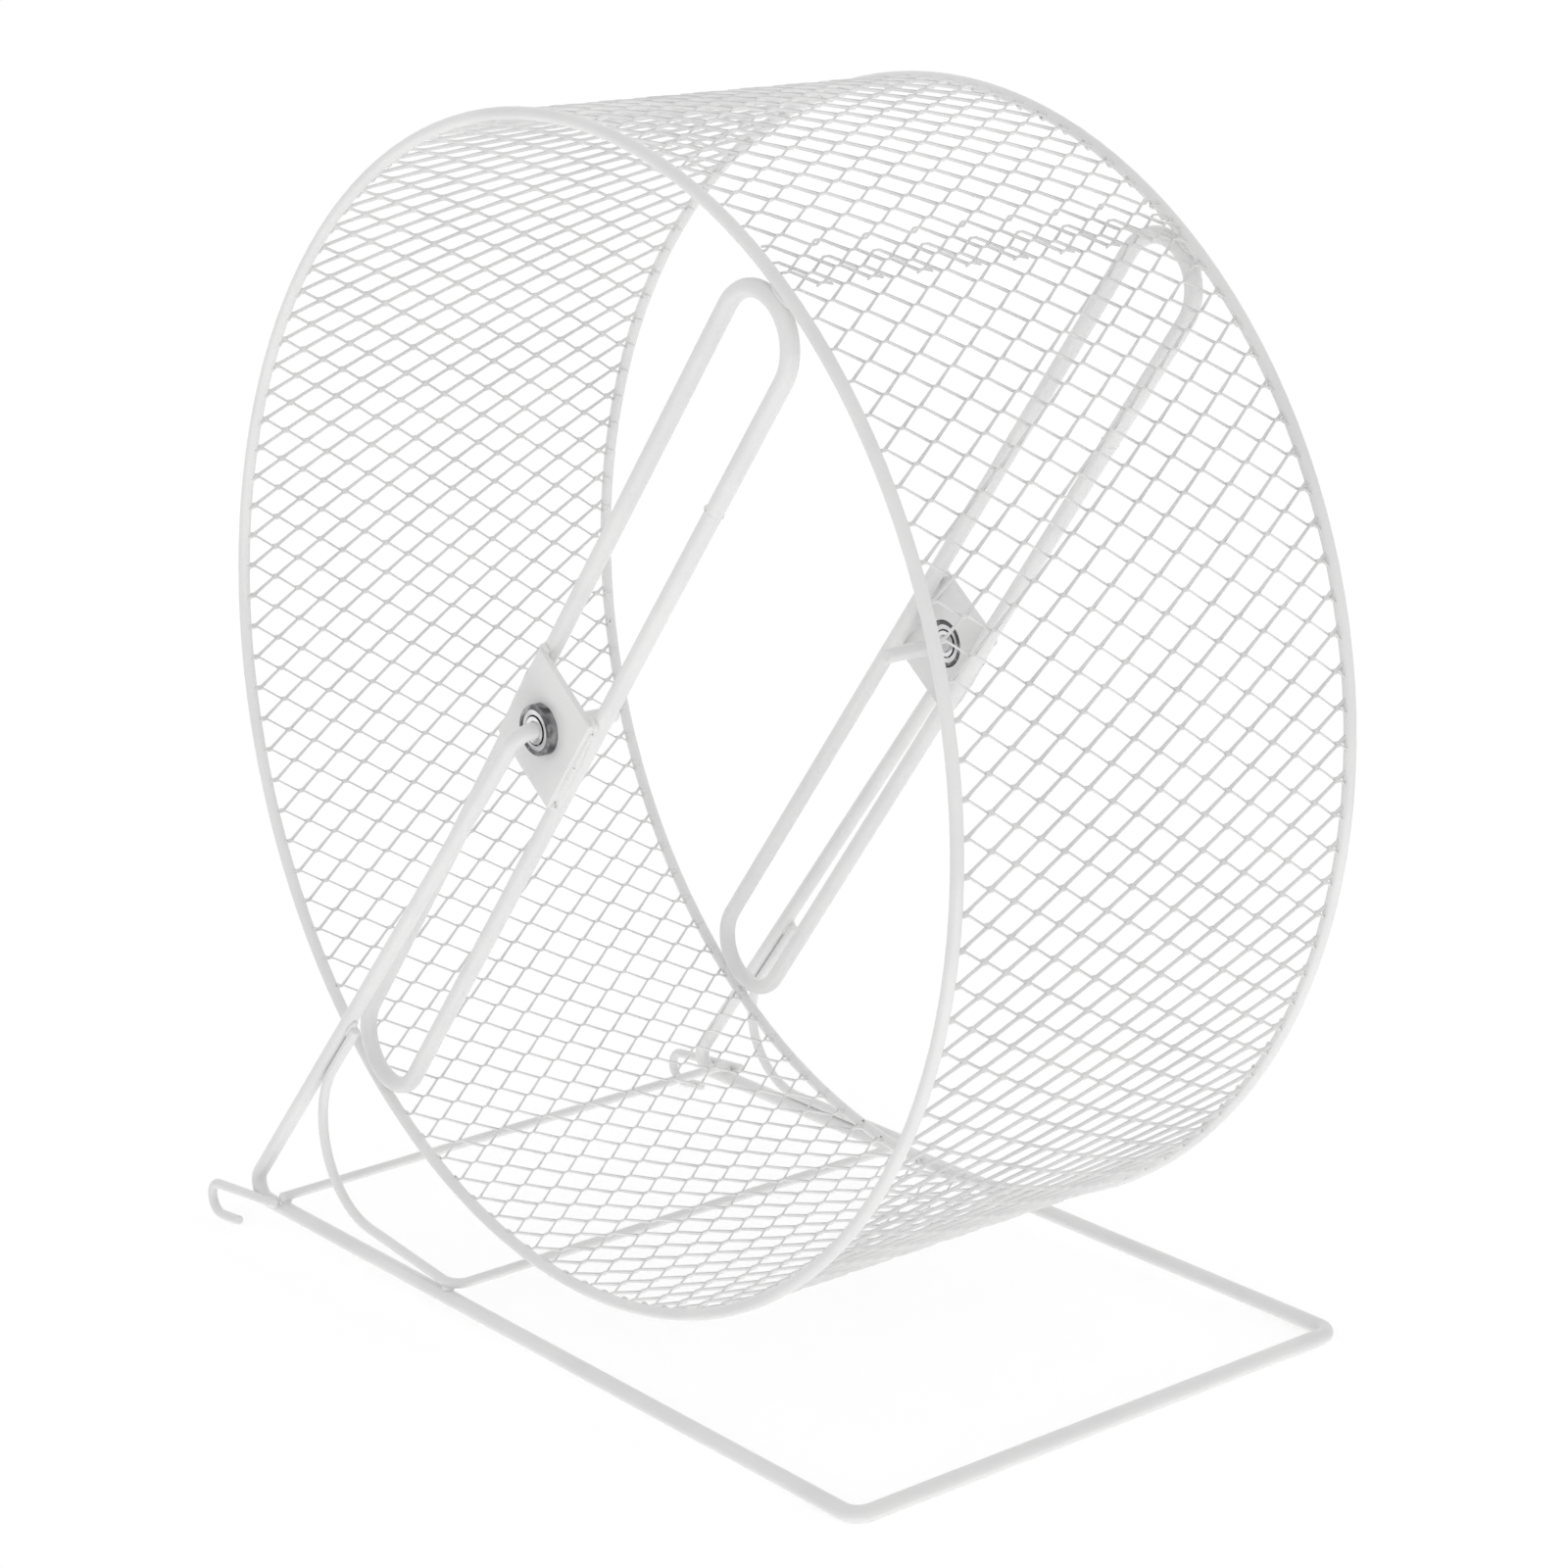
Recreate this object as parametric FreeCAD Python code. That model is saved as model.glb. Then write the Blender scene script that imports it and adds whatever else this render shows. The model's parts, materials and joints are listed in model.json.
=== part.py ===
import FreeCAD, Part
import math
import os

from FreeCAD import Vector

os.makedirs("parts", exist_ok=True)

# Exercise wheel on a bent wire stand, in millimetres.
# +X is forward, +Y runs from the near side to the far side and +Z is up.
# The near side is modelled at -Y. The far side is its mirror image, but for the brace, the mesh
# and the slant of the rear crossbar.

# Gaps
weld_gap = 0.2               # between two pieces that are welded together
stub_clearance = 0.05        # round the axle stub in the bearing's bore
press_gap = 0.01             # round a piece that is pressed into its seat
ball_gap = 0.03              # between a ball and its groove
pocket_gap = 0.05            # between a ball and its pocket in the cage
shield_gap = 0.35            # between a shield and the inner ring
bend_margin = 0.2            # from the bearing's outer face to the start of the axle bend

# Wheel
rim_radius = 138.0           # axle to the middle of the rim wire
rim_wire = 2.9
rim_spacing = 114.0          # middle to middle of the two rims
loop_wire = 4.2
loop_width = 23.0            # middle to middle of a loop's two long runs
loop_angle = 51.5            # degrees from forward up to the loop's long axis
loop_offset = 0.4            # loop's middle outside the rim's middle
plate_length = 29.0          # along the loop
plate_overlap = 0.5          # past the middle of each loop wire
plate_thickness = 1.6
plate_rounding = 0.4         # coated edges

# Expanded metal strip
panel_count = 18
panel_cells = 6              # cells round one panel
row_step = 6.73              # length of a half cell, along the axle
strand_width = 0.7           # measured round the drum
strand_thickness = 0.5
bond_length = 1.3            # flat joint between two cells, along the axle
panel_gap = 0.05             # between neighbouring panels
lap_strips = 3               # half cells covered twice at the seam
lap_angle = 54.3             # degrees from forward up to the middle of the seam

# Bearing
bearing_diameter = 12.0
bearing_width = 4.0
ball_diameter = 2.0
ball_count = 7
groove_depth = 0.3           # of each ring's ball groove
ring_chamfer = 0.3
shield_thickness = 0.3
shield_recess = 0.2          # from the bearing's face in to the shield
shield_seat = 0.15           # step in the outer ring that holds the shield
cage_thickness = 0.5
cage_edge = 0.35             # cage left on each side of a ball

# Stand
stand_wire = 3.9
stand_bend = 4.2             # radius of every bend, at the middle of the wire
stub_inside = 19.0           # axle stub past the plate, into the drum
leg_spread = 4.7             # how far a leg slants outwards on its way down
base_front = 122.0           # axle to the middle of the front bar
base_rear = 125.8            # axle to where the leg and the rail would meet without the bend
wheel_lift = 9.4             # rim over the underside of the rails

# Thin wires on the stand
thin_wire = 2.5
end_rounding = 0.7           # every cut wire end
rear_bar_forward = 15.0      # from the meeting point of leg and rail to the rear crossbar's far end
rear_bar_slant = 2.8         # its near end lies further forward
rear_bar_overhang = 1.3      # past the middle of each rail
brace_corner = 4.5           # bend from the side run into the crossing
brace_cross = 30.4           # axle back to the middle of the crossing
near_brace_bend = 23.0       # big bend between leg and rail, at the middle of the wire
near_brace_top = 59.8        # height of the upper end over the underside of the rails
near_brace_slope = 5.5       # degrees that the lower run falls towards the crossing
far_brace_bend = 18.5        # the far half is bent lower and lies on the rail
far_brace_top = 55.0
far_brace_slope = 0.0
hook_bend = 4.2              # middle of the wire
hook_slope = 6.0             # degrees that the hook's leg falls towards the back
hook_forward = 12.3          # from the hook's weld forward to its end
hook_back = 16.3             # from the hook's weld back to the turn
hook_return = 9.0            # straight end after the turn

# Sizes that follow
rim_outer = rim_radius + rim_wire / 2
axle_height = wheel_lift + rim_outer
rail_height = stand_wire / 2
loop_y = rim_spacing / 2 + loop_offset
loop_rim_distance = (rim_wire + loop_wire) / 2 + weld_gap
loop_end_radius = rim_radius - math.sqrt(loop_rim_distance ** 2 - loop_offset ** 2)
plate_inner_y = loop_y + loop_wire / 2 + weld_gap
bearing_y = plate_inner_y + bearing_width / 2
bearing_face_y = plate_inner_y + bearing_width
leg_top_y = bearing_face_y + bend_margin + stand_bend
rail_y = leg_top_y + leg_spread
bore_radius = stand_wire / 2 + stub_clearance
pitch_radius = (bore_radius + bearing_diameter / 2) / 2
groove_radius = ball_diameter / 2 + ball_gap
inner_land = pitch_radius - ball_diameter / 2 + groove_depth
outer_land = pitch_radius + ball_diameter / 2 - groove_depth
seat_radius = outer_land + shield_seat
leg_angle = math.atan2(axle_height - rail_height, base_rear)
rear_bend_run = stand_bend / math.tan(leg_angle / 2)
thin_on_rail = stand_wire + weld_gap + thin_wire / 2
side_contact = (stand_wire + thin_wire) / 2 + weld_gap

nodes = {}


def mirrored(shape):
    return shape.mirror(Vector(0, 0, 0), Vector(0, 1, 0))


def at_axle(shape, y=0.0):
    moved = shape.copy()
    moved.translate(Vector(0, y, axle_height))
    return moved


def bent_path(corners, radii):
    edges = []
    run_start = corners[0]
    for index, radius in enumerate(radii):
        corner = corners[index + 1]
        back = (corners[index] - corner).normalize()
        ahead = (corners[index + 2] - corner).normalize()
        half_angle = back.getAngle(ahead) / 2
        middle = (back + ahead).normalize()
        bend_start = corner + back * (radius / math.tan(half_angle))
        bend_end = corner + ahead * (radius / math.tan(half_angle))
        bend_middle = corner + middle * (radius / math.sin(half_angle) - radius)
        edges.append(Part.LineSegment(run_start, bend_start).toShape())
        edges.append(Part.Arc(bend_start, bend_middle, bend_end).toShape())
        run_start = bend_end
    edges.append(Part.LineSegment(run_start, corners[-1]).toShape())
    return edges


def rounded_ends(wire):
    flat_faces = [face for face in wire.Faces if isinstance(face.Surface, Part.Plane)]
    return wire.makeFillet(end_rounding, [edge for face in flat_faces for edge in face.Edges])


def wire_along(edges, diameter):
    start = edges[0].valueAt(edges[0].FirstParameter)
    along = edges[0].tangentAt(edges[0].FirstParameter)
    section = Part.Wire(Part.makeCircle(diameter / 2, start, along))
    return rounded_ends(Part.Wire(edges).makePipeShell([section], True, False))


# Stand: one wire from the near stub round the base to the far stub
def stand_frame():
    stub_end = Vector(0, -(plate_inner_y - stub_inside), axle_height)
    leg_top = Vector(0, -leg_top_y, axle_height)
    rear = Vector(-base_rear, -rail_y, rail_height)
    front = Vector(base_front, -rail_y, rail_height)
    near_half = [stub_end, leg_top, rear, front]
    far_half = [Vector(point.x, -point.y, point.z) for point in reversed(near_half)]
    return wire_along(bent_path(near_half + far_half, [stand_bend] * 6), stand_wire)


def rear_crossbar():
    half_length = rail_y + rear_bar_overhang
    far_end = Vector(rear_bar_forward - base_rear, half_length, thin_on_rail)
    near_end = Vector(far_end.x + rear_bar_slant, -half_length, thin_on_rail)
    along = far_end - near_end
    return rounded_ends(Part.makeCylinder(thin_wire / 2, along.Length, near_end, along))


# Brace: its upper ends lie along the legs, its crossing lies on the rails
def leg_plane_y(height):
    return -rail_y + leg_spread * (height - rail_height) / (axle_height - rail_height)


def brace_point(x, height):
    return Vector(x, leg_plane_y(height), height)


def brace_half(top, slope_angle):
    slope = math.tan(math.radians(slope_angle))
    beside_leg = side_contact / math.sin(leg_angle) - base_rear
    leg_rise = math.tan(leg_angle)
    # where the line along the leg meets the line of the lower run
    meet_x = (thin_on_rail - rail_height - slope * brace_cross + leg_rise * beside_leg) / (leg_rise + slope)
    meet_height = thin_on_rail - slope * (brace_cross + meet_x)
    top_x = beside_leg + (top - rail_height) / leg_rise
    return [
        brace_point(top_x, top),
        brace_point(meet_x, meet_height),
        brace_point(-brace_cross, thin_on_rail),
    ]


def brace_bar():
    near_half = brace_half(near_brace_top, near_brace_slope)
    far_half = brace_half(far_brace_top, far_brace_slope)
    far_half = [Vector(point.x, -point.y, point.z) for point in reversed(far_half)]
    radii = [near_brace_bend, brace_corner, brace_corner, far_brace_bend]
    return wire_along(bent_path(near_half + far_half, radii), thin_wire)


# Hook: a straight leg beside the rear bend, a half turn and a short straight end, in an upright plane
hook_y = -(rail_y + side_contact)
hook_along = Vector(-math.cos(math.radians(hook_slope)), 0, -math.sin(math.radians(hook_slope)))
hook_down = Vector(-hook_along.z, 0, hook_along.x)
rear_bend_middle = Vector(rear_bend_run - base_rear, hook_y, rail_height + stand_bend)
hook_weld = rear_bend_middle + Vector(-1, 0, -1).normalize() * stand_bend
hook_turn_top = hook_weld + hook_along * hook_back
hook_turn_middle = hook_turn_top + hook_down * hook_bend


def near_hook():
    turn_back = hook_turn_middle + hook_along * hook_bend
    turn_bottom = hook_turn_middle + hook_down * hook_bend
    edges = [
        Part.LineSegment(hook_weld - hook_along * hook_forward, hook_turn_top).toShape(),
        Part.Arc(hook_turn_top, turn_back, turn_bottom).toShape(),
        Part.LineSegment(turn_bottom, turn_bottom - hook_along * hook_return).toShape(),
    ]
    return wire_along(edges, thin_wire)


# Rims, loops and hub plates
def near_rim():
    ring = Part.makeTorus(rim_radius, rim_wire / 2, Vector(0, 0, 0), Vector(0, 1, 0))
    return at_axle(ring, -rim_spacing / 2)


def turned_up(shape, angle):
    turned_shape = shape.copy()
    turned_shape.rotate(Vector(0, 0, 0), Vector(0, 1, 0), -angle)
    return turned_shape


def near_spoke_loop():
    end_radius = loop_width / 2
    half_run = loop_end_radius - end_radius
    pieces = []
    for side in (-1, 1):
        start = Vector(-half_run, 0, side * end_radius)
        pieces.append(Part.makeCylinder(loop_wire / 2, 2 * half_run, start, Vector(1, 0, 0)))
        bend = Part.makeTorus(end_radius, loop_wire / 2, Vector(0, 0, 0), Vector(0, 1, 0))
        corner = Vector(0, -loop_wire, -loop_width)
        half_turn = bend.common(Part.makeBox(loop_width, 2 * loop_wire, 2 * loop_width, corner))
        half_turn.rotate(Vector(0, 0, 0), Vector(0, 1, 0), 90 - 90 * side)
        half_turn.translate(Vector(side * half_run, 0, 0))
        pieces.append(half_turn)
    loop = pieces[0].fuse(pieces[1:]).removeSplitter()
    return at_axle(turned_up(loop.Solids[0], loop_angle), -loop_y)


def near_hub_plate():
    plate_width = loop_width + 2 * plate_overlap
    corner = Vector(-plate_length / 2, -plate_thickness, -plate_width / 2)
    plate = Part.makeBox(plate_length, plate_thickness, plate_width, corner)
    plate = plate.makeFillet(plate_rounding, plate.Edges)
    hole_radius = bearing_diameter / 2 + press_gap
    hole_start = Vector(0, -2 * plate_thickness, 0)
    hole = Part.makeCylinder(hole_radius, 3 * plate_thickness, hole_start, Vector(0, 1, 0))
    return at_axle(turned_up(plate.cut(hole), loop_angle), -plate_inner_y)


# Bearing: profiles are (radius, distance along the axle from the bearing's middle)
def turned(profile):
    points = [Vector(radius, along, 0) for radius, along in profile]
    face = Part.Face(Part.makePolygon(points + points[:1]))
    return face.revolve(Vector(0, 0, 0), Vector(0, 1, 0), 360)


def ball_groove():
    return Part.makeTorus(pitch_radius, groove_radius, Vector(0, 0, 0), Vector(0, 1, 0))


def outer_ring():
    half = bearing_width / 2
    radius = bearing_diameter / 2
    seat = half - shield_recess - shield_thickness
    upper = [(radius, half - ring_chamfer), (radius - ring_chamfer, half), (seat_radius, half)]
    upper += [(seat_radius, seat), (outer_land, seat)]
    lower = [(r, -along) for r, along in reversed(upper)]
    return turned(upper + lower).cut(ball_groove())


def inner_ring():
    half = bearing_width / 2
    upper = [(inner_land, half), (bore_radius + ring_chamfer, half), (bore_radius, half - ring_chamfer)]
    lower = [(r, -along) for r, along in reversed(upper)]
    return turned(upper + lower).cut(ball_groove())


def shield(side):
    outside = bearing_width / 2 - shield_recess
    inside = outside - shield_thickness + press_gap
    hole = inner_land + shield_gap
    edge = seat_radius - press_gap
    profile = [(hole, inside), (edge, inside), (edge, outside), (hole, outside)]
    return turned([(radius, side * along) for radius, along in profile])


def ball_directions():
    for index in range(ball_count):
        angle = 2 * math.pi * index / ball_count
        yield Vector(math.cos(angle), 0, math.sin(angle))


def balls():
    middles = [out * pitch_radius for out in ball_directions()]
    return Part.makeCompound([Part.makeSphere(ball_diameter / 2, middle) for middle in middles])


def cage():
    half = ball_diameter / 2 + cage_edge
    inside = pitch_radius - cage_thickness / 2
    outside = pitch_radius + cage_thickness / 2
    ring = turned([(inside, -half), (outside, -half), (outside, half), (inside, half)])
    pocket_radius = ball_diameter / 2 + pocket_gap
    pocket_start = inside - cage_thickness
    pockets = []
    for out in ball_directions():
        pockets.append(Part.makeCylinder(pocket_radius, 3 * cage_thickness, out * pocket_start, out))
    return ring.cut(pockets)


# Expanded metal: each strip between two columns of bonds is one flat zigzag band
strip_angle = 360.0 / (panel_count * panel_cells * 2)
mesh_inner_radius = rim_radius - strand_thickness / 2
mesh_end_y = (rim_spacing - rim_wire) / 2 - weld_gap
mesh_rows = int((2 * mesh_end_y - bond_length) / row_step)      # from the near rim to the last whole bonds


def zigzag_band(start, across, starts_left):
    strand = Vector(across).normalize() * strand_width
    bond, next_bond = start, start + across - strand
    if not starts_left:
        bond, next_bond = next_bond, bond
    left_edge = []
    for row in range(mesh_rows + 1):
        y = row * row_step - mesh_end_y
        left_edge.append(bond + Vector(0, y, 0))
        left_edge.append(bond + Vector(0, y + bond_length, 0))
        bond, next_bond = next_bond, bond
    # the strands past the last whole bonds are cut off at the far rim
    strand_length = row_step - bond_length
    cut_y = min(left_edge[-1].y + strand_length, mesh_end_y)
    cut_share = (cut_y - left_edge[-1].y) / strand_length
    left_edge.append(next_bond + (bond - next_bond) * cut_share + Vector(0, cut_y, 0))
    if cut_y < mesh_end_y:
        left_edge.append(bond + Vector(0, mesh_end_y, 0))
    right_edge = [point + strand for point in reversed(left_edge)]
    return Part.Face(Part.makePolygon(left_edge + right_edge + left_edge[:1]))


def mesh_panel(strip_count, panel_angle, radius):
    columns = []
    for index in range(strip_count + 1):
        angle = math.radians(panel_angle * (index / strip_count - 0.5))
        columns.append(Vector(math.cos(angle), 0, math.sin(angle)) * radius)
    bands = []
    for index in range(strip_count):
        band = zigzag_band(columns[index], columns[index + 1] - columns[index], index % 2 == 0)
        bands.append(band.extrude(Vector(strand_thickness, 0, 0)))
    return bands[0].fuse(bands[1:]).Solids[0]


def running_mesh():
    panel_angle = 360.0 / panel_count
    gap_angle = math.degrees(panel_gap / mesh_inner_radius)
    panel = mesh_panel(2 * panel_cells, panel_angle - gap_angle, mesh_inner_radius)
    panels = [turned_up(panel, (index + 0.5) * panel_angle) for index in range(panel_count)]
    lap_radius = mesh_inner_radius + strand_thickness + weld_gap
    panels.append(turned_up(mesh_panel(lap_strips, lap_strips * strip_angle, lap_radius), lap_angle))
    return at_axle(Part.makeCompound(panels))


# The hooks hang lower than the rails, so the stand leans on the front bar and the two hook turns
front_bar = Vector(base_front, 0, rail_height)
hook_reach = front_bar.x - hook_turn_middle.x
hook_drop = front_bar.z - hook_turn_middle.z
hook_outer = hook_bend + thin_wire / 2
hook_distance = math.hypot(hook_reach, hook_drop)
lean = math.asin((hook_outer - rail_height) / hook_distance) + math.atan2(hook_drop, hook_reach)


def leaned(point):
    offset = FreeCAD.Rotation(Vector(0, 1, 0), math.degrees(lean)).multVec(point - front_bar)
    return front_bar + offset


axle = leaned(Vector(0, 0, axle_height))
front_end = axle.x + rim_outer
rear_end = leaned(hook_turn_middle).x - hook_outer
middle_x = (front_end + rear_end) / 2


def stood(shape):
    placed = shape.copy()
    placed.rotate(front_bar, Vector(0, 1, 0), math.degrees(lean))
    placed.translate(Vector(-middle_x, 0, 0))
    return placed


def add_pair(name, shape):
    nodes["near_" + name] = shape
    nodes["far_" + name] = mirrored(shape)


nodes["stand_frame"] = stand_frame()
nodes["rear_crossbar"] = rear_crossbar()
nodes["brace_bar"] = brace_bar()
nodes["running_mesh"] = running_mesh()
add_pair("hook", near_hook())
add_pair("rim", near_rim())
add_pair("spoke_loop", near_spoke_loop())
add_pair("hub_plate", near_hub_plate())
add_pair("bearing_outer_ring", at_axle(outer_ring(), -bearing_y))
add_pair("bearing_inner_ring", at_axle(inner_ring(), -bearing_y))
add_pair("bearing_outer_shield", at_axle(shield(-1), -bearing_y))
add_pair("bearing_inner_shield", at_axle(shield(1), -bearing_y))
add_pair("bearing_balls", at_axle(balls(), -bearing_y))
add_pair("bearing_cage", at_axle(cage(), -bearing_y))

for name, shape in nodes.items():
    stood(shape).exportStep("parts/" + name + ".step")
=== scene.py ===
import json
import math

import bmesh
import bpy
from mathutils import Matrix, Vector, noise
from mathutils.bvhtree import BVHTree


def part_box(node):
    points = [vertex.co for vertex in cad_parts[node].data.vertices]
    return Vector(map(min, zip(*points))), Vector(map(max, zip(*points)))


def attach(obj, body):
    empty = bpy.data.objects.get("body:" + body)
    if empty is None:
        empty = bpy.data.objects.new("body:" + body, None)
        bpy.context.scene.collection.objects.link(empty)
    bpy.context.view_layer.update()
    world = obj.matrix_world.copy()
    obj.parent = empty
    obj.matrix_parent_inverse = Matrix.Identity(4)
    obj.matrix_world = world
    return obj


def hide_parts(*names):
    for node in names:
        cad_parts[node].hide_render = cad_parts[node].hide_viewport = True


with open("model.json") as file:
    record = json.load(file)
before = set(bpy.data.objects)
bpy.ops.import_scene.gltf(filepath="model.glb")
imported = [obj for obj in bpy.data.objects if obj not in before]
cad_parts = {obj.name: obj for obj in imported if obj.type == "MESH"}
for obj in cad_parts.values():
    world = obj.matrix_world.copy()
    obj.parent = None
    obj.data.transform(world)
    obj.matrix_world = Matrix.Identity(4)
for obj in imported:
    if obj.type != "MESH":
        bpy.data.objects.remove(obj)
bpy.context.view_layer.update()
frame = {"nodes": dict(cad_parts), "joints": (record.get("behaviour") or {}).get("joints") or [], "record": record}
nodes = frame["nodes"]
print("frame loaded:", len(nodes), "nodes")

spinJoint = next(joint for joint in frame["joints"] if joint["name"] == "wheel_spin")
axle = Vector(spinJoint["pos_m"])


def nodeSize(name):
    low, high = (Vector(corner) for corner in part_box(name))
    return high - low


def nodeMiddle(name):
    low, high = (Vector(corner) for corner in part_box(name))
    return (low + high) / 2


# directions square to the axle, at an angle above level: away from it and round it

def outwardsAt(angle):
    return Vector((math.cos(angle), 0, math.sin(angle)))


def roundAt(angle):
    return Vector((-math.sin(angle), 0, math.cos(angle)))


def allOf(bm):
    return bm.verts[:] + bm.edges[:] + bm.faces[:]


def onlyKind(items, kind):
    return [item for item in items if isinstance(item, kind)]


def addPiece(name, bm, body, material):
    for face in bm.faces:
        face.smooth = True
    mesh = bpy.data.meshes.new(name)
    bm.to_mesh(mesh)
    bm.free()
    piece = bpy.data.objects.new(name, mesh)
    bpy.context.scene.collection.objects.link(piece)
    piece.data.materials.append(material)
    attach(piece, body)
    return piece


# materials

def newMaterial(name):
    material = bpy.data.materials.new(name)
    material.use_nodes = True
    tree = material.node_tree
    return material, tree, tree.nodes["Principled BSDF"]


def addNode(tree, kind, **sockets):
    node = tree.nodes.new(kind)
    for socket, value in sockets.items():
        node.inputs[socket].default_value = value
    return node


def addMath(tree, operation, first, second):
    node = tree.nodes.new("ShaderNodeMath")
    node.operation = operation
    for socket, value in zip(node.inputs, (first, second)):
        if isinstance(value, float):
            socket.default_value = value
        else:
            tree.links.new(value, socket)
    return node.outputs[0]


def objectPlace(tree):
    return tree.nodes.new("ShaderNodeTexCoord").outputs["Object"]


def objectNoise(tree, scale, detail):
    noiseNode = addNode(tree, "ShaderNodeTexNoise", Scale=scale, Detail=detail)
    tree.links.new(objectPlace(tree), noiseNode.inputs["Vector"])
    return noiseNode.outputs["Fac"]


def between(tree, value, low, high):
    step = addNode(tree, "ShaderNodeMapRange", **{"From Min": low, "From Max": high})
    tree.links.new(value, step.inputs["Value"])
    return step.outputs["Result"]


def spread(tree, value, low, high):
    step = addNode(tree, "ShaderNodeMapRange", **{"To Min": low, "To Max": high})
    tree.links.new(value, step.inputs["Value"])
    return step.outputs["Result"]


def mixColours(tree, factor, first, second):
    mix = tree.nodes.new("ShaderNodeMix")
    mix.data_type = "RGBA"
    tree.links.new(factor, mix.inputs[0])
    for socket, colour in zip(mix.inputs[6:8], (first, second)):  # the two colour sockets
        if isinstance(colour, tuple):
            socket.default_value = (*colour, 1)
        else:
            tree.links.new(colour, socket)
    return mix.outputs[2]  # the mixed colour


dipCoat = {
    "wireThick": (0.87, 0.87, 0.865),      # where the coat is thickest
    "wireThin": (0.82, 0.82, 0.82),        # where grey steel shows faintly through
    "meshThick": (0.86, 0.86, 0.855),
    "meshThin": (0.785, 0.785, 0.785),
    "patchScale": 45.0,
    "patchDetail": 4.0,
    "patchRange": (0.32, 0.58),            # noise from the thinnest to the thickest coat
    "peelScale": 700.0,                    # orange peel of the dried coat
    "peelDetail": 2.0,
    "peelHeight": 0.00006,
    "peelStrength": 0.35,
    "bareSteel": (0.3, 0.29, 0.28),        # specks that the coat missed
    "speckScale": 900.0,
    "speckDetail": 1.0,
    "speckRange": (0.69, 0.73),            # noise from coated to bare
    "roughness": 0.3,
    "gloss": 0.25,                         # clear skin over the colour
    "glossRoughness": 0.12,
}


def coatMaterial(name, finish, specked=False):
    material, tree, shader = newMaterial(name)
    patches = objectNoise(tree, dipCoat["patchScale"], dipCoat["patchDetail"])
    thickness = between(tree, patches, *dipCoat["patchRange"])
    colour = mixColours(tree, thickness, dipCoat[finish + "Thin"], dipCoat[finish + "Thick"])
    if specked:
        specks = objectNoise(tree, dipCoat["speckScale"], dipCoat["speckDetail"])
        bareShare = between(tree, specks, *dipCoat["speckRange"])
        colour = mixColours(tree, bareShare, colour, dipCoat["bareSteel"])
    tree.links.new(colour, shader.inputs["Base Color"])
    bump = addNode(tree, "ShaderNodeBump", Strength=dipCoat["peelStrength"], Distance=dipCoat["peelHeight"])
    peel = objectNoise(tree, dipCoat["peelScale"], dipCoat["peelDetail"])
    tree.links.new(peel, bump.inputs["Height"])
    tree.links.new(bump.outputs["Normal"], shader.inputs["Normal"])
    shader.inputs["Roughness"].default_value = dipCoat["roughness"]
    shader.inputs["Coat Weight"].default_value = dipCoat["gloss"]
    shader.inputs["Coat Roughness"].default_value = dipCoat["glossRoughness"]
    return material


bearingSteel = {
    "ringBright": (0.8, 0.8, 0.81),
    "ringDark": (0.11, 0.11, 0.115),       # painted shade inside the bearing and painted dark reflection on the outer ring
    "ringRough": (0.12, 0.25),
    "paintedShadeEdge": 0.00325,                    # axle to where the painted shade and dark reflection start
    "paintedShadeBlur": 0.00003,
    "paintedShadeRange": (0.9, 0.48),               # noise from the few streaks left bright to the painted shade and reflection
    "shieldBright": (0.78, 0.78, 0.79),
    "shieldDark": (0.62, 0.62, 0.63),
    "shieldRough": (0.3, 0.45),
    # the cage is painted nearly black: painted shade for the dark gap between the inner ring and the shield
    "cageBright": (0.07, 0.07, 0.072),
    "cageDark": (0.04, 0.04, 0.042),
    "cageRough": (0.4, 0.5),
    "ballBright": (0.7, 0.7, 0.72),
    "ballDark": (0.62, 0.62, 0.64),
    "ballRough": (0.05, 0.12),
    "streakScale": 260.0,
    "streakDetail": 2.0,
    "streakRange": (0.3, 0.7),             # noise from bright to dark
}


def axleDistance(tree):
    centred = addNode(tree, "ShaderNodeMapping", Location=(-axle.x, 0, -axle.z), Scale=(1, 0, 1))
    tree.links.new(objectPlace(tree), centred.inputs["Vector"])
    length = tree.nodes.new("ShaderNodeVectorMath")
    length.operation = "LENGTH"
    tree.links.new(centred.outputs["Vector"], length.inputs[0])
    return length.outputs["Value"]


def streakShare(tree, streaks):
    return between(tree, streaks, *bearingSteel["streakRange"])


# painted shade and dark reflection beyond a radius from the axle, with a few bright streaks left
def paintedShadeShare(tree, streaks):
    edge, blur = bearingSteel["paintedShadeEdge"], bearingSteel["paintedShadeBlur"]
    paintedShadeZone = between(tree, axleDistance(tree), edge - blur, edge + blur)
    paintedShadeCover = between(tree, streaks, *bearingSteel["paintedShadeRange"])
    return addMath(tree, "MULTIPLY", paintedShadeZone, paintedShadeCover)


def steelMaterial(finish, darkShare=streakShare):
    material, tree, shader = newMaterial(finish + "Steel")
    streaks = objectNoise(tree, bearingSteel["streakScale"], bearingSteel["streakDetail"])
    bright, dark = bearingSteel[finish + "Bright"], bearingSteel[finish + "Dark"]
    colour = mixColours(tree, darkShare(tree, streaks), bright, dark)
    tree.links.new(colour, shader.inputs["Base Color"])
    rough = spread(tree, streaks, *bearingSteel[finish + "Rough"])
    tree.links.new(rough, shader.inputs["Roughness"])
    shader.inputs["Metallic"].default_value = 1.0
    return material


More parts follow.
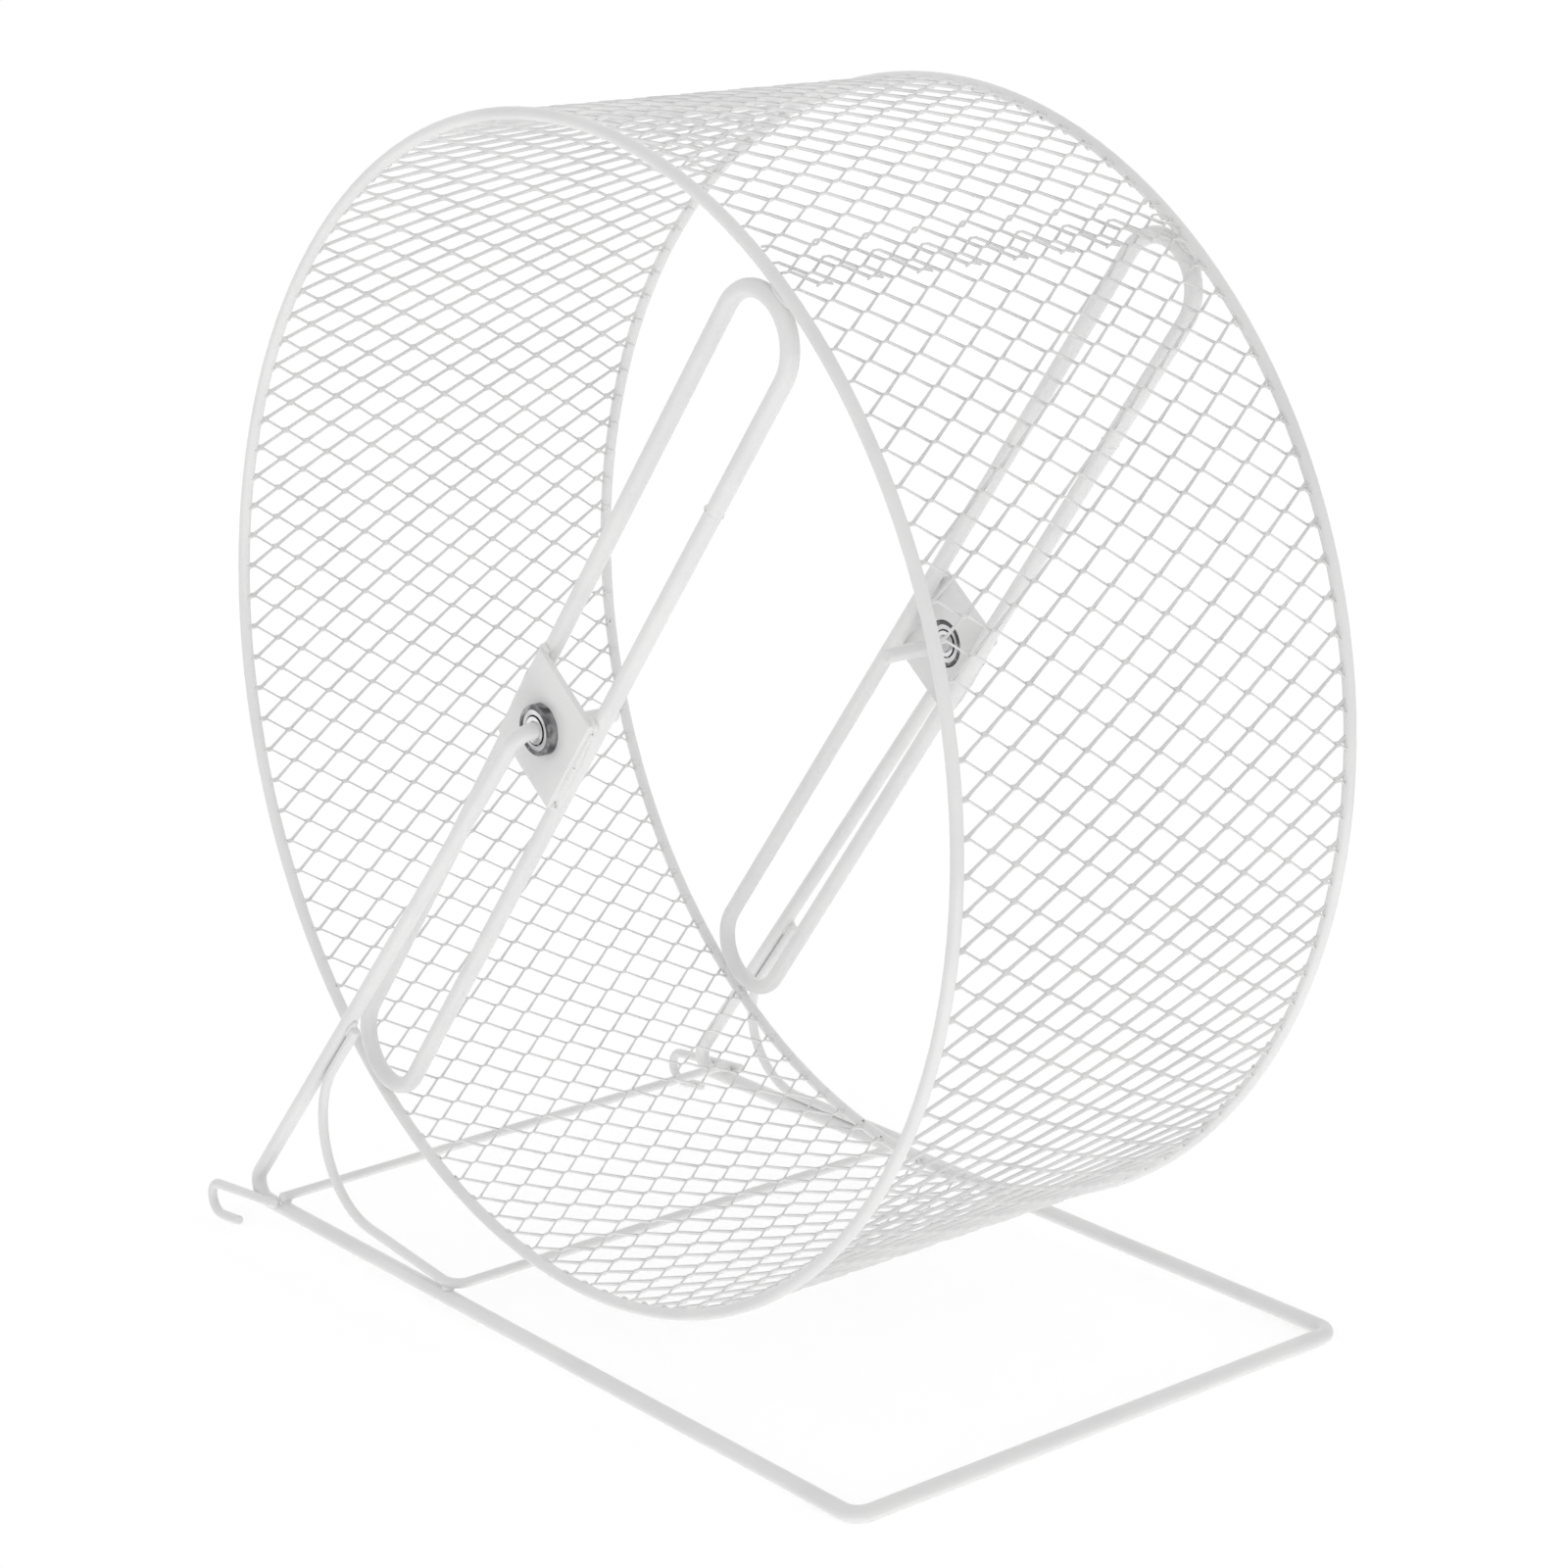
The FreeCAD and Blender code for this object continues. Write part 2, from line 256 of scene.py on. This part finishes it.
weldCoat = coatMaterial("weldCoat", "wire", specked=True)
meshCoat = coatMaterial("meshCoat", "mesh")
slotMaterials = {
    "white_coat": coatMaterial("wireCoat", "wire"),
    "mesh_coat": meshCoat,
    # ring steel with painted shade and painted dark reflection beyond the inner ring
    "bearing_steel": steelMaterial("ring", paintedShadeShare),
    "shield_steel": steelMaterial("shield"),
    # cage painted nearly black as shade in the bearing's gap
    "cage_steel": steelMaterial("cage"),
    "ball_steel": steelMaterial("ball"),
}

for subpart in frame["record"]["subparts"]:
    node = nodes[subpart["node"]]
    node.data.materials.clear()
    node.data.materials.append(slotMaterials[subpart["material_slot"]])
print("materials set on", len(nodes), "nodes")


# running mesh: one strand is extruded as a zigzag, turned over for its twin, wrapped round the axle and spun

runningMesh = {
    "cellsRound": 107.5,       # the strip's ends meet half a cell out of step
    "cells": 107,              # of the strip, without the lap
    "rows": 16,                # half cells from the near rim to the last bonds
    "rowStep": 0.00673,
    "strandWidth": 0.00078,
    "strandThickness": 0.0005,
    "tilt": math.radians(52),  # stretching the slit sheet turned its strands on edge
    "bondLength": 0.0015,
    "coatRounding": 0.00015,
    "roundingSegments": 1,     # a second one makes the drum too heavy
    "roundingLimit": math.radians(50),
    "intoRim": 0.0006,         # strand ends sunk in the rims' welds
    "stripStart": math.radians(54.56),  # first bonds above the lap, above level
    "lapCells": 2,
    "lapCut": math.radians(5.46),       # from the first bonds down to the cut strands
    "lapGap": 0.0006,
    "curl": 0.0004,                     # cut strands of the seam stand out
    "strandMerge": 0.00001,             # points of a cell that are closer than this become one
    "cellMerge": 0.00002,               # and those of two neighbouring cells
}

cellAngle = 2 * math.pi / runningMesh["cellsRound"]
meshRadius = (nodeSize("running_mesh").x - runningMesh["strandThickness"]) / 2
meshEnd = nodeSize("running_mesh").y / 2 + runningMesh["intoRim"]


def zigzagCell(radius):
    width = runningMesh["strandWidth"] * math.cos(runningMesh["tilt"])
    rise = runningMesh["strandWidth"] * math.sin(runningMesh["tilt"])
    bond = runningMesh["bondLength"]
    halfCell = radius * cellAngle / 2
    crossing = Vector((halfCell - width, 0, rise))          # sideways, from one bond to the next
    rowLength = runningMesh["rowStep"] - bond
    bm = bmesh.new()
    start = Vector((-halfCell, -meshEnd, 0))
    edge = bm.edges.new([bm.verts.new(start), bm.verts.new(start + Vector((width, 0, -rise)))])

    def draw(edge, along, sideways=Vector()):
        grown = bmesh.ops.extrude_edge_only(bm, edges=[edge])["geom"]
        ends = onlyKind(grown, bmesh.types.BMVert)
        bmesh.ops.translate(bm, verts=ends, vec=sideways + Vector((0, along, 0)))
        return onlyKind(grown, bmesh.types.BMEdge)[0]

    edge = draw(edge, runningMesh["intoRim"] + bond)
    for row in range(runningMesh["rows"]):
        edge = draw(edge, rowLength, crossing if row % 2 == 0 else -crossing)
        edge = draw(edge, bond)
    rest = meshEnd - edge.verts[0].co.y
    draw(edge, rest, crossing * rest / rowLength)           # fork cut off at the far rim
    twin = bmesh.ops.duplicate(bm, geom=allOf(bm))["geom"]
    bmesh.ops.rotate(bm, verts=onlyKind(twin, bmesh.types.BMVert), cent=(0, 0, 0),
                     matrix=Matrix.Rotation(math.pi, 3, "Y"))
    bmesh.ops.remove_doubles(bm, verts=bm.verts, dist=runningMesh["strandMerge"])
    bmesh.ops.recalc_face_normals(bm, faces=bm.faces)
    return bm


def wrapAndSpin(bm, radius, firstAngle, count):
    for vert in bm.verts:
        outwards = outwardsAt(firstAngle + vert.co.x / radius)
        vert.co = axle + outwards * (radius + vert.co.z) + Vector((0, vert.co.y, 0))
    bmesh.ops.spin(bm, geom=allOf(bm), cent=axle, axis=(0, -1, 0), dvec=(0, 0, 0),
                   angle=cellAngle * (count - 1), steps=count - 1, use_duplicate=True)
    bmesh.ops.remove_doubles(bm, verts=bm.verts, dist=runningMesh["cellMerge"])
    bmesh.ops.recalc_face_normals(bm, faces=bm.faces)


def cutAlongAxle(bm, angle):
    bmesh.ops.bisect_plane(bm, geom=allOf(bm), dist=runningMesh["strandMerge"], plane_co=axle,
                           plane_no=roundAt(angle), clear_inner=True)


def curlEnds(bm, angle):
    for vert in bm.verts:
        arm = vert.co - axle
        arm.y = 0
        nearness = 1 - arm.dot(roundAt(angle)) / runningMesh["strandWidth"]
        if nearness > 0:
            vert.co += arm.normalized() * runningMesh["curl"] * nearness


def thicken(piece):
    solid = piece.modifiers.new("strandThickness", "SOLIDIFY")
    solid.thickness = runningMesh["strandThickness"]
    solid.offset = 0.0
    rounding = piece.modifiers.new("coatRounding", "BEVEL")
    rounding.width = runningMesh["coatRounding"]
    rounding.segments = runningMesh["roundingSegments"]
    rounding.limit_method = "ANGLE"
    rounding.angle_limit = runningMesh["roundingLimit"]


drumCells = zigzagCell(meshRadius)
wrapAndSpin(drumCells, meshRadius, runningMesh["stripStart"] + cellAngle / 2, runningMesh["cells"])
drum = addPiece("expandedMetalDrum", drumCells, "wheel", meshCoat)
thicken(drum)
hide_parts("running_mesh")

lapRadius = meshRadius + runningMesh["strandThickness"] + runningMesh["lapGap"]
lapCut = runningMesh["stripStart"] - runningMesh["lapCut"]
lapMiddle = runningMesh["stripStart"] - cellAngle * (runningMesh["lapCells"] - 0.5)    # of its lowest cell
lapCells = zigzagCell(lapRadius)
wrapAndSpin(lapCells, lapRadius, lapMiddle, runningMesh["lapCells"])
cutAlongAxle(lapCells, lapCut)
curlEnds(lapCells, lapCut)
lap = addPiece("expandedMetalLap", lapCells, "wheel", meshCoat)
thicken(lap)
print("running mesh made:", runningMesh["cellsRound"], "cells round")


# welds: uneven beads in the grooves between two pieces, placed where the pieces come closest

welds = {
    "loopAngle": math.radians(49.69),      # the loops' long axis above level
    "loopEnd": 0.1345,                     # axle to the end of a loop
    "loopSeam": 0.084,                     # axle to the butt seam on one run of each loop
    "plateEnd": 0.0143,                    # axle to a hub plate's short edge
    "wireSide": 0.0115,                    # axle's middle to a loop's long run
    "strandEndTurn": math.radians(50),     # from the mesh round the wire, towards the axle
    "legDirection": (0.67, 0.02, 0.74),
    # near where each bead goes
    "nearBraceTop": (-0.0715, -0.0722, 0.0640),
    "farBraceTop": (-0.0765, 0.0722, 0.0585),
    "braceFoot": (-0.0345, 0.0728, 0.0075),
    "barEnd": (-0.1122, 0.0728, 0.0112),
    "hookFoot": (-0.1150, 0.0745, 0.0095),
    # half of each bead's length along the groove, width and height
    "plateSideBead": (0.0135, 0.0019, 0.0009),
    "plateCornerBead": (0.0017, 0.0013, 0.0009),
    "loopEndBead": (0.0042, 0.0013, 0.0008),
    "braceTopBead": (0.0036, 0.0012, 0.0008),
    "braceFootBead": (0.0017, 0.0015, 0.0008),
    "barEndBead": (0.0019, 0.0016, 0.0008),
    "hookFootBead": (0.0034, 0.0013, 0.0008),
    "seamBead": (0.0009, 0.00225, 0.00225),
    "strandEndBead": (0.0006, 0.0011, 0.0005),     # round the rim, across its wire and out of it
    "beadDetail": 3,
    "strandEndDetail": (8, 5),             # coarse, because there are hundreds of them
    "closingSteps": 6,                     # back and forth between two pieces, to where they are closest
    "lumps": 0.18,                         # unevenness, as a share of the bead
    "lumpScale": 900.0,
}


def surfaceTree(name):
    bm = bmesh.new()
    bm.from_mesh(nodes[name].data)
    tree = BVHTree.FromBMesh(bm)
    bm.free()
    return tree


def beadPlace(middle, forwards, sideways, upwards, bead):
    axes = Matrix((forwards, sideways, upwards)).transposed().to_4x4()
    return Matrix.Translation(middle) @ axes @ Matrix.Diagonal((*welds[bead], 1))


def addLumps(verts, middle):
    for vert in verts:
        lump = noise.noise(vert.co * welds["lumpScale"])
        vert.co += (vert.co - middle) * lump * welds["lumps"]


def addBall(bm, middle, place):
    made = bmesh.ops.create_icosphere(bm, subdivisions=welds["beadDetail"], radius=1.0, matrix=place)
    addLumps(made["verts"], middle)


def addBead(bm, first, second, guess, along, bead):
    firstTree, secondTree = surfaceTree(first), surfaceTree(second)
    onSecond = Vector(guess)
    for step in range(welds["closingSteps"]):
        onFirst = firstTree.find_nearest(onSecond)[0]
        onSecond = secondTree.find_nearest(onFirst)[0]
    upwards = (onSecond - onFirst).normalized()
    sideways = upwards.cross(Vector(along)).normalized()
    middle = (onFirst + onSecond) / 2
    addBall(bm, middle, beadPlace(middle, sideways.cross(upwards), sideways, upwards, bead))


def addSeam(bm, middle, along):
    sideways = along.cross(Vector((0, 1, 0)))
    addBall(bm, middle, beadPlace(middle, along, sideways, along.cross(sideways), "seamBead"))


rimWire = nodeSize("near_rim").y
rimRadius = (nodeSize("near_rim").x - rimWire) / 2


def addStrandEnd(bm, rimMiddle, angle, sign):
    # where a bond's strands are welded over the rim's inner side
    outwards = outwardsAt(angle)
    turn = welds["strandEndTurn"]
    upwards = -outwards * math.sin(turn) - Vector((0, sign * math.cos(turn), 0))
    forwards = outwards.cross(Vector((0, 1, 0)))
    middle = rimMiddle + outwards * rimRadius + upwards * rimWire / 2
    place = beadPlace(middle, forwards, upwards.cross(forwards), upwards, "strandEndBead")
    meridians, rows = welds["strandEndDetail"]
    made = bmesh.ops.create_uvsphere(bm, u_segments=meridians, v_segments=rows, radius=1.0, matrix=place)
    addLumps(made["verts"], middle)


def sided(place, sign):
    return (place[0], sign * place[1], place[2])


def onAxle(name):
    return Vector((axle.x, nodeMiddle(name).y, axle.z))


loopDirection = outwardsAt(welds["loopAngle"])
loopSideways = roundAt(welds["loopAngle"])
wheelBeads = bmesh.new()
standBeads = bmesh.new()
for side, sign in (("near", -1), ("far", 1)):
    rim, loop, plate = side + "_rim", side + "_spoke_loop", side + "_hub_plate"
    rimMiddle, loopMiddle, plateMiddle = onAxle(rim), onAxle(loop), onAxle(plate)
    for cell in range(runningMesh["cells"] + 1):
        addStrandEnd(wheelBeads, rimMiddle, runningMesh["stripStart"] + cell * cellAngle, sign)
    seam = loopDirection * welds["loopSeam"] - loopSideways * welds["wireSide"]
    addSeam(wheelBeads, loopMiddle + seam, loopDirection)
    for wire in (-1, 1):
        edge = plateMiddle + loopSideways * wire * welds["wireSide"]
        addBead(wheelBeads, loop, plate, edge, loopDirection, "plateSideBead")
    for end in (-1, 1):
        loopEnd = rimMiddle + loopDirection * end * welds["loopEnd"]
        addBead(wheelBeads, loop, rim, loopEnd, loopSideways, "loopEndBead")
        for wire in (-1, 1):
            corner = loopDirection * end * welds["plateEnd"] + loopSideways * wire * welds["wireSide"]
            addBead(wheelBeads, loop, plate, plateMiddle + corner, loopSideways, "plateCornerBead")
    for other, place, along, bead in (
            ("brace_bar", welds[side + "BraceTop"], sided(welds["legDirection"], -sign), "braceTopBead"),
            ("brace_bar", sided(welds["braceFoot"], sign), (0, 1, 0), "braceFootBead"),
            ("rear_crossbar", sided(welds["barEnd"], sign), (0, 1, 0), "barEndBead"),
            (side + "_hook", sided(welds["hookFoot"], sign), (1, 0, 0), "hookFootBead")):
        addBead(standBeads, "stand_frame", other, place, along, bead)
addPiece("wheelWelds", wheelBeads, "wheel", weldCoat)
addPiece("standWelds", standBeads, "stand", weldCoat)
print("welds made")


# stage: pale floor, soft light and the camera

studio = {
    "floorSize": 40.0,
    "floorColour": (0.9, 0.9, 0.9),
    "floorRoughness": 0.9,
    "floorFill": 0.335,              # white seen by the camera besides the light that falls on the floor
    "skyTop": 0.68,
    "skyEdge": 0.9,                  # the sky is brightest near the floor, as in a light tent
    "lampFrom": (0.4, -0.2, -0.89),      # a soft fill from below, as a bright table throws back
    "lampStrength": 1.5,
    "lampSpread": math.radians(60),
}

photoCamera = {
    "azimuth": math.radians(51.93),       # from straight along the axle, towards the front bar
    "elevation": math.radians(14.17),
    "roll": math.radians(-2.3),
    "distance": 0.88,
    "target": (0.0168, -0.003, 0.13109),
    "lens": 85.84,
    "sensor": 36.0,
    "farthest": 100.0,
}


def seenDirectly(tree):
    path = tree.nodes.new("ShaderNodeLightPath")
    mirrored = addMath(tree, "MAXIMUM", path.outputs["Is Camera Ray"], path.outputs["Is Glossy Ray"])
    return addMath(tree, "MAXIMUM", mirrored, path.outputs["Is Transmission Ray"])


def makeFloor():
    bm = bmesh.new()
    bmesh.ops.create_grid(bm, x_segments=1, y_segments=1, size=studio["floorSize"] / 2)
    mesh = bpy.data.meshes.new("studioFloor")
    bm.to_mesh(mesh)
    bm.free()
    floor = bpy.data.objects.new("studioFloor", mesh)
    floor.visible_shadow = False       # the fill from below shines through it
    bpy.context.scene.collection.objects.link(floor)
    material, tree, shader = newMaterial("floorPaper")
    shader.inputs["Base Color"].default_value = (*studio["floorColour"], 1)
    shader.inputs["Roughness"].default_value = studio["floorRoughness"]
    shader.inputs["Specular IOR Level"].default_value = 0.0
    shader.inputs["Emission Color"].default_value = (1, 1, 1, 1)
    fill = addMath(tree, "MULTIPLY", seenDirectly(tree), studio["floorFill"])
    tree.links.new(fill, shader.inputs["Emission Strength"])
    mesh.materials.append(material)


def makeSky():
    world = bpy.data.worlds.new("studioSky")
    bpy.context.scene.world = world
    world.use_nodes = True
    tree = world.node_tree
    background = tree.nodes["Background"]
    background.inputs["Color"].default_value = (1, 1, 1, 1)
    split = tree.nodes.new("ShaderNodeSeparateXYZ")
    tree.links.new(tree.nodes.new("ShaderNodeTexCoord").outputs["Generated"], split.inputs["Vector"])
    fade = spread(tree, split.outputs["Z"], studio["skyEdge"], studio["skyTop"])
    aboveFloor = addMath(tree, "GREATER_THAN", split.outputs["Z"], 0.0)
    light = addMath(tree, "MULTIPLY", aboveFloor, fade)
    white = addMath(tree, "MAXIMUM", seenDirectly(tree), light)
    tree.links.new(white, background.inputs["Strength"])


def addLamp():
    light = bpy.data.lights.new("fillLamp", "SUN")
    light.energy = studio["lampStrength"]
    light.angle = studio["lampSpread"]
    lamp = bpy.data.objects.new("fillLamp", light)
    lamp.rotation_euler = Vector(studio["lampFrom"]).to_track_quat("Z", "Y").to_euler()
    bpy.context.scene.collection.objects.link(lamp)


def addCamera():
    azimuth, elevation = photoCamera["azimuth"], photoCamera["elevation"]
    back = Vector((math.sin(azimuth) * math.cos(elevation), -math.cos(azimuth) * math.cos(elevation),
                   math.sin(elevation)))
    data = bpy.data.cameras.new("photoCamera")
    data.lens = photoCamera["lens"]
    data.sensor_width = photoCamera["sensor"]
    data.clip_end = photoCamera["farthest"]
    camera = bpy.data.objects.new("photoCamera", data)
    turn = back.to_track_quat("Z", "Y").to_matrix() @ Matrix.Rotation(photoCamera["roll"], 3, "Z")
    place = Vector(photoCamera["target"]) + back * photoCamera["distance"]
    camera.matrix_world = Matrix.Translation(place) @ turn.to_4x4()
    bpy.context.scene.collection.objects.link(camera)
    bpy.context.scene.camera = camera


makeFloor()
makeSky()
addLamp()
addCamera()
bpy.context.scene.view_settings.view_transform = "Standard"
print("stage set")
